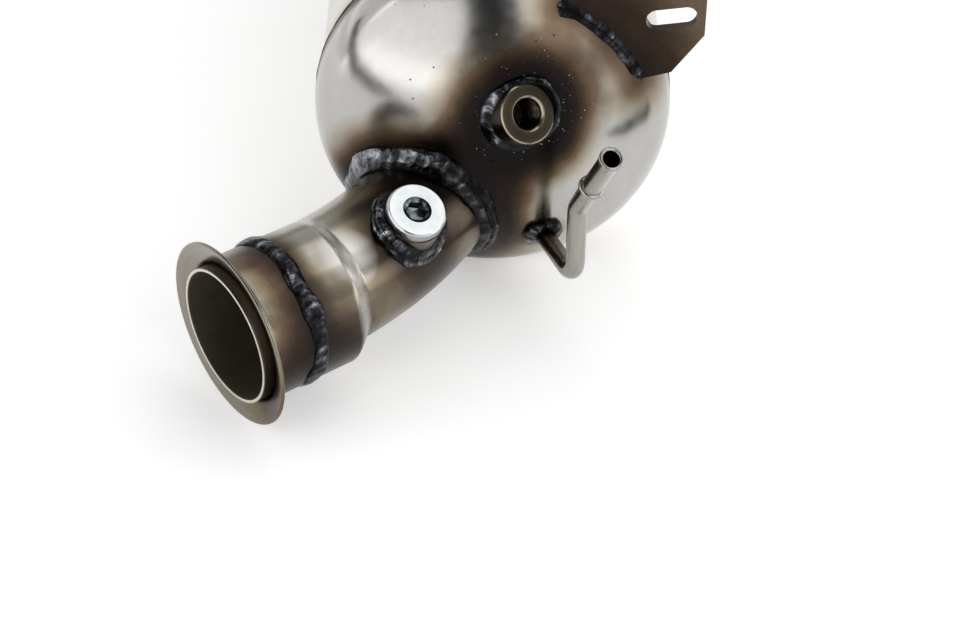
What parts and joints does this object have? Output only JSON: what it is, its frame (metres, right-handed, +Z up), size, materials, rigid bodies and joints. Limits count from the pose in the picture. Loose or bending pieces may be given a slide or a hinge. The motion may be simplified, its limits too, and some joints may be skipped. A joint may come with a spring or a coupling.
{
  "type": "diesel particulate filter",
  "caption": "Round stainless diesel particulate filter with a dished inlet end, angled flanged inlet elbow, sensor bosses, pressure pipe and slotted bracket.",
  "frame": {"origin": "centre of the outlet pipe's mouth", "axes": "+Y out of the outlet along the canister axis, +Z up, the inlet elbow turns towards -X"},
  "size_m": [0.2129, 0.4858, 0.1575],
  "materials": {
    "pressed_flange": "satin with light heat tint",
    "liner_pipe": "satin",
    "weld_bead": "dark oxidised, lumpy and glossy",
    "tinted_stainless": "satin with brown and straw heat tint",
    "shell_stainless": "satin",
    "boss_steel": "turned, straw tinted",
    "washer": "dull copper",
    "zinc_plug": "bright zinc",
    "pipe_stainless": "satin",
    "bracket_plate": "dark heat tinted",
    "catalyst_ceramic": "matte honeycomb",
    "filter_ceramic": "matte honeycomb",
    "support_mat": "fibrous"
  },
  "bodies": {
    "root": {"inlet_flange": "pressed_flange", "inlet_liner": "liner_pipe", "flange_weld": "weld_bead", "inlet_elbow": "tinted_stainless", "elbow_weld": "weld_bead", "inlet_dish": "tinted_stainless", "sensor_boss": "boss_steel", "sensor_boss_weld": "weld_bead", "plug_washer": "washer", "sensor_plug": "zinc_plug", "temperature_boss": "boss_steel", "temperature_boss_weld": "weld_bead", "pressure_pipe": "pipe_stainless", "pressure_pipe_weld": "weld_bead", "bracket": "bracket_plate", "bracket_weld": "weld_bead", "front_seam_weld": "weld_bead", "canister_shell": "shell_stainless", "oxidation_catalyst": "catalyst_ceramic", "catalyst_mat": "support_mat", "filter_body": "filter_ceramic", "filter_mat": "support_mat", "rear_seam_weld": "weld_bead", "outlet_cone": "shell_stainless", "outlet_weld": "weld_bead", "outlet_pipe": "shell_stainless"}
  },
  "joints": []
}
